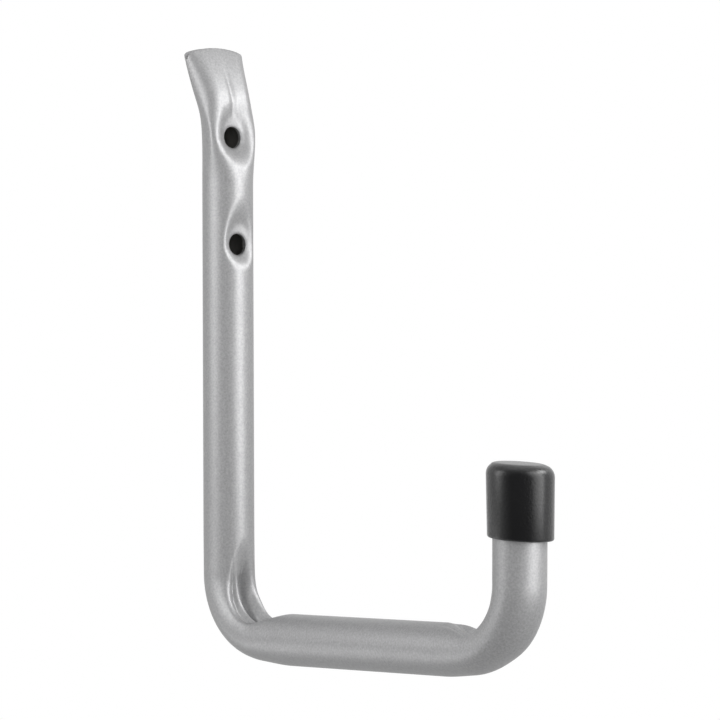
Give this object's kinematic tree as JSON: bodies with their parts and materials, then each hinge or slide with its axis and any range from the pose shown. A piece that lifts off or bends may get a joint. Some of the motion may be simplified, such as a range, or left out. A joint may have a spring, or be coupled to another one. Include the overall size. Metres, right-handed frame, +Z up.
{
  "type": "utility hook",
  "caption": "Wall hook bent from one steel tube, with a flattened upper end, dimpled screw holes and a soft cap pushed onto its upturned tip.",
  "frame": {"origin": "centre of the line of screw holes, on the plane of the wall that the hook's back lies on", "axes": "+Z up along the post, -Y out from the wall along the arm, +X to the right seen from the room"},
  "size_m": [0.027, 0.1801, 0.2295],
  "materials": {
    "tube_finish": "satin silver powder coat with fine speckle",
    "cap_rubber": "soft black, slightly glossy"
  },
  "bodies": {
    "root": {"hook_tube": "tube_finish", "end_cap": "cap_rubber"}
  },
  "joints": []
}
